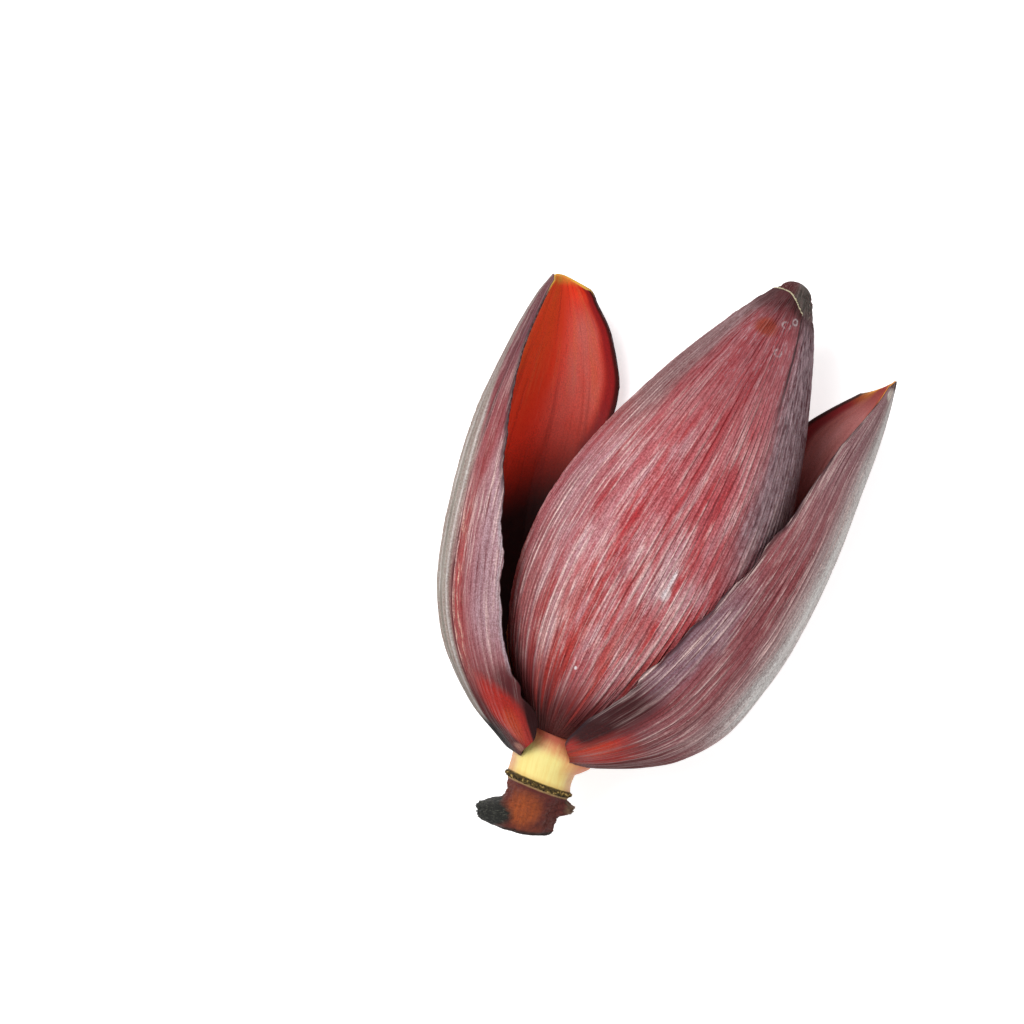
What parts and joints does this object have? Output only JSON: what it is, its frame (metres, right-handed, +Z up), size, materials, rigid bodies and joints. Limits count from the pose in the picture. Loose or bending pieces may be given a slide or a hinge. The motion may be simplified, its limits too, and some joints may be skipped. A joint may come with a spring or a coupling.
{
  "type": "banana blossom",
  "caption": "Cut banana blossom lying on its belly: closed pointed bud wrapped by a ribbed bract, opened bracts at its sides, flowers in their axils and a stalk stump.",
  "frame": {"origin": "on the surface it lies on, under the middle of its outer box", "axes": "+Y along the bud from stalk to tip, +X to the bud's right side seen from above, +Z up"},
  "size_m": [0.1767, 0.2751, 0.1008],
  "materials": {
    "bract": "leathery dusky red with pale ribs and waxy bloom outside, smooth orange-red inside",
    "bud": "leathery dusky red with waxy bloom",
    "stalk": "smooth pale yellow neck over a rough brown stump",
    "floret": "waxy cream"
  },
  "bodies": {
    "root": {"stalk": "stalk", "bud": "bud", "bract_front": "bract", "bract_left": "bract", "bract_right": "bract", "florets_left": "floret", "florets_right": "floret"}
  },
  "joints": []
}
